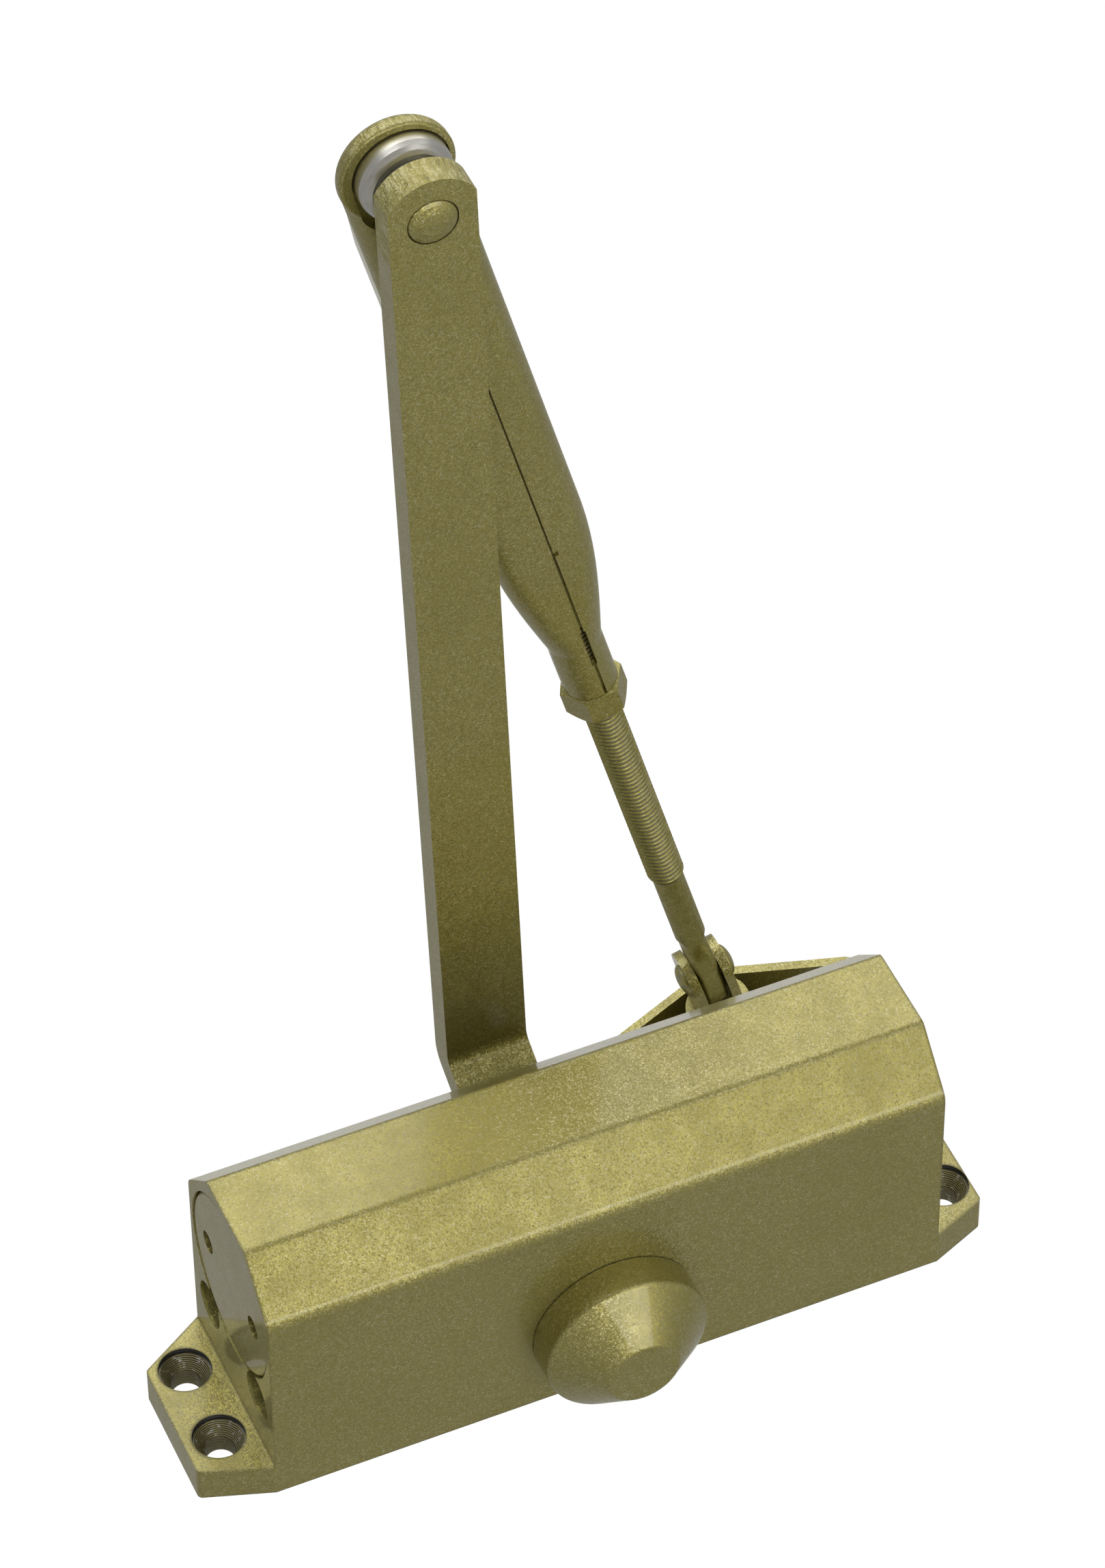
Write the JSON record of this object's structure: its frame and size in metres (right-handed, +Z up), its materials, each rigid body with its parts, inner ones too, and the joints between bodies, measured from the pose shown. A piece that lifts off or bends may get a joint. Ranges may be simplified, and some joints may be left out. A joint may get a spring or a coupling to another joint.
{
  "type": "door closer",
  "caption": "Overhead door closer: a sprung rack-and-pinion body with fixing lugs and a jointed adjustable arm ending in a swivelling frame shoe.",
  "frame": {"origin": "middle of the four fixing holes, on the back face that lies on the door", "axes": "+Y out of the back face into the door, +X along the body towards the spring end, +Z up along the pinion towards the arm"},
  "size_m": [0.1837, 0.3025, 0.1124],
  "materials": {
    "body_paint": "champagne gold metallic paint with fine flake, semi-gloss",
    "plug_paint": "champagne gold metallic paint over a turned steel plug",
    "cap_paint": "champagne gold metallic paint",
    "arm_paint": "champagne gold metallic paint over bar steel",
    "forearm_paint": "champagne gold metallic paint over folded sheet steel",
    "nut_paint": "champagne gold paint, worn at the corners",
    "fork_paint": "champagne gold paint over bent strap",
    "shoe_paint": "champagne gold paint over pressed steel",
    "rivet_paint": "champagne gold paint over the rivet head",
    "spacer_steel": "bare turned steel with a little paint overspray",
    "washer_steel": "bare steel",
    "rivet_steel": "bare steel",
    "fork_pin_steel": "steel rivet with thin gold paint",
    "rod_steel": "zinc plated rolled thread with gold overspray",
    "valve_steel": "dull steel screw",
    "gear_steel": "hardened steel",
    "cap_steel": "zinc plated steel",
    "ball_steel": "polished ball",
    "spring_steel": "oil tempered spring wire",
    "bush_brass": "turned bronze",
    "seal_rubber": "matt black nitrile"
  },
  "bodies": {
    "closer": {"closer_body": "body_paint", "valve_end_plug": "plug_paint", "spring_end_plug": "plug_paint", "plug_seals": "seal_rubber", "spindle_cap": "cap_paint", "bearing_cap": "cap_steel", "bearing_cap_seal": "seal_rubber", "lower_bush": "bush_brass", "upper_bush": "bush_brass", "shaft_seal": "seal_rubber", "seal_retainer": "cap_steel", "spring_seat": "cap_steel", "valve_seals": "seal_rubber", "closing_spring": "spring_steel"},
    "main_arm": {"pinion_shaft": "gear_steel", "main_arm": "arm_paint", "arm_washer": "washer_steel", "arm_screw": "rivet_steel", "elbow_rivet": "rivet_paint", "elbow_washer": "washer_steel"},
    "piston": {"piston": "gear_steel", "check_retainer": "cap_steel"},
    "check_ball": {"check_ball": "ball_steel"},
    "closing_valve": {"closing_valve": "valve_steel"},
    "latching_valve": {"latching_valve": "valve_steel"},
    "forearm": {"forearm": "forearm_paint", "elbow_spacer": "spacer_steel"},
    "lock_nut": {"lock_nut": "nut_paint"},
    "rod": {"adjuster_rod": "rod_steel"},
    "fork": {"fork": "fork_paint", "fork_pin": "fork_pin_steel"},
    "shoe": {"shoe": "shoe_paint", "swivel_rivet": "rivet_steel", "swivel_washer": "washer_steel"}
  },
  "joints": [
    {"name": "main_arm_turn", "type": "hinge", "parent": "closer", "child": "main_arm", "pos_m": [0.0008, -0.0184, 0], "axis": [0, 0, 1], "range_deg": [0, 150], "stiffness_Nm_per_rad": 5.6, "springref_deg": -63.03},
    {"name": "piston_slide", "type": "slide", "parent": "closer", "child": "piston", "axis": [1, 0, 0], "range_m": [0, 0.02365], "deforming": ["closing_spring"]},
    {"name": "check_ball_lift", "type": "slide", "parent": "piston", "child": "check_ball", "axis": [-1, 0, 0], "range_m": [0, 0.0008]},
    {"name": "closing_valve_turn", "type": "hinge", "parent": "closer", "child": "closing_valve", "pos_m": [-0.0701, -0.0217, -0.0126], "axis": [1, 0, 0], "range_deg": [-180, 180]},
    {"name": "latching_valve_turn", "type": "hinge", "parent": "closer", "child": "latching_valve", "pos_m": [-0.0701, -0.0217, 0.0126], "axis": [1, 0, 0], "range_deg": [-180, 180]},
    {"name": "elbow_fold", "type": "hinge", "parent": "main_arm", "child": "forearm", "pos_m": [-0.00702, -0.26728, 0.06], "axis": [0, 0, 1], "range_deg": [-150, 2]},
    {"name": "lock_nut_turn", "type": "hinge", "parent": "forearm", "child": "lock_nut", "pos_m": [0.03385, -0.10793, 0.0629], "axis": [0.2538, 0.9673, 0], "continuous": true},
    {"name": "rod_adjust", "type": "slide", "parent": "forearm", "child": "rod", "axis": [0.2538, 0.9673, 0], "range_m": [-0.04, 0.015]},
    {"name": "fork_tilt", "type": "hinge", "parent": "rod", "child": "fork", "pos_m": [0.05935, -0.01072, 0.0629], "axis": [0.9673, -0.2538, 0], "range_deg": [-90, 90]},
    {"name": "shoe_swivel", "type": "hinge", "parent": "fork", "child": "shoe", "pos_m": [0.0624, 0.00088, 0.0629], "axis": [0.2538, 0.9673, 0], "continuous": true}
  ],
  "couplings": [
    {"joint": "piston_slide", "follows": "main_arm_turn", "m_per_rad": 0.009}
  ]
}
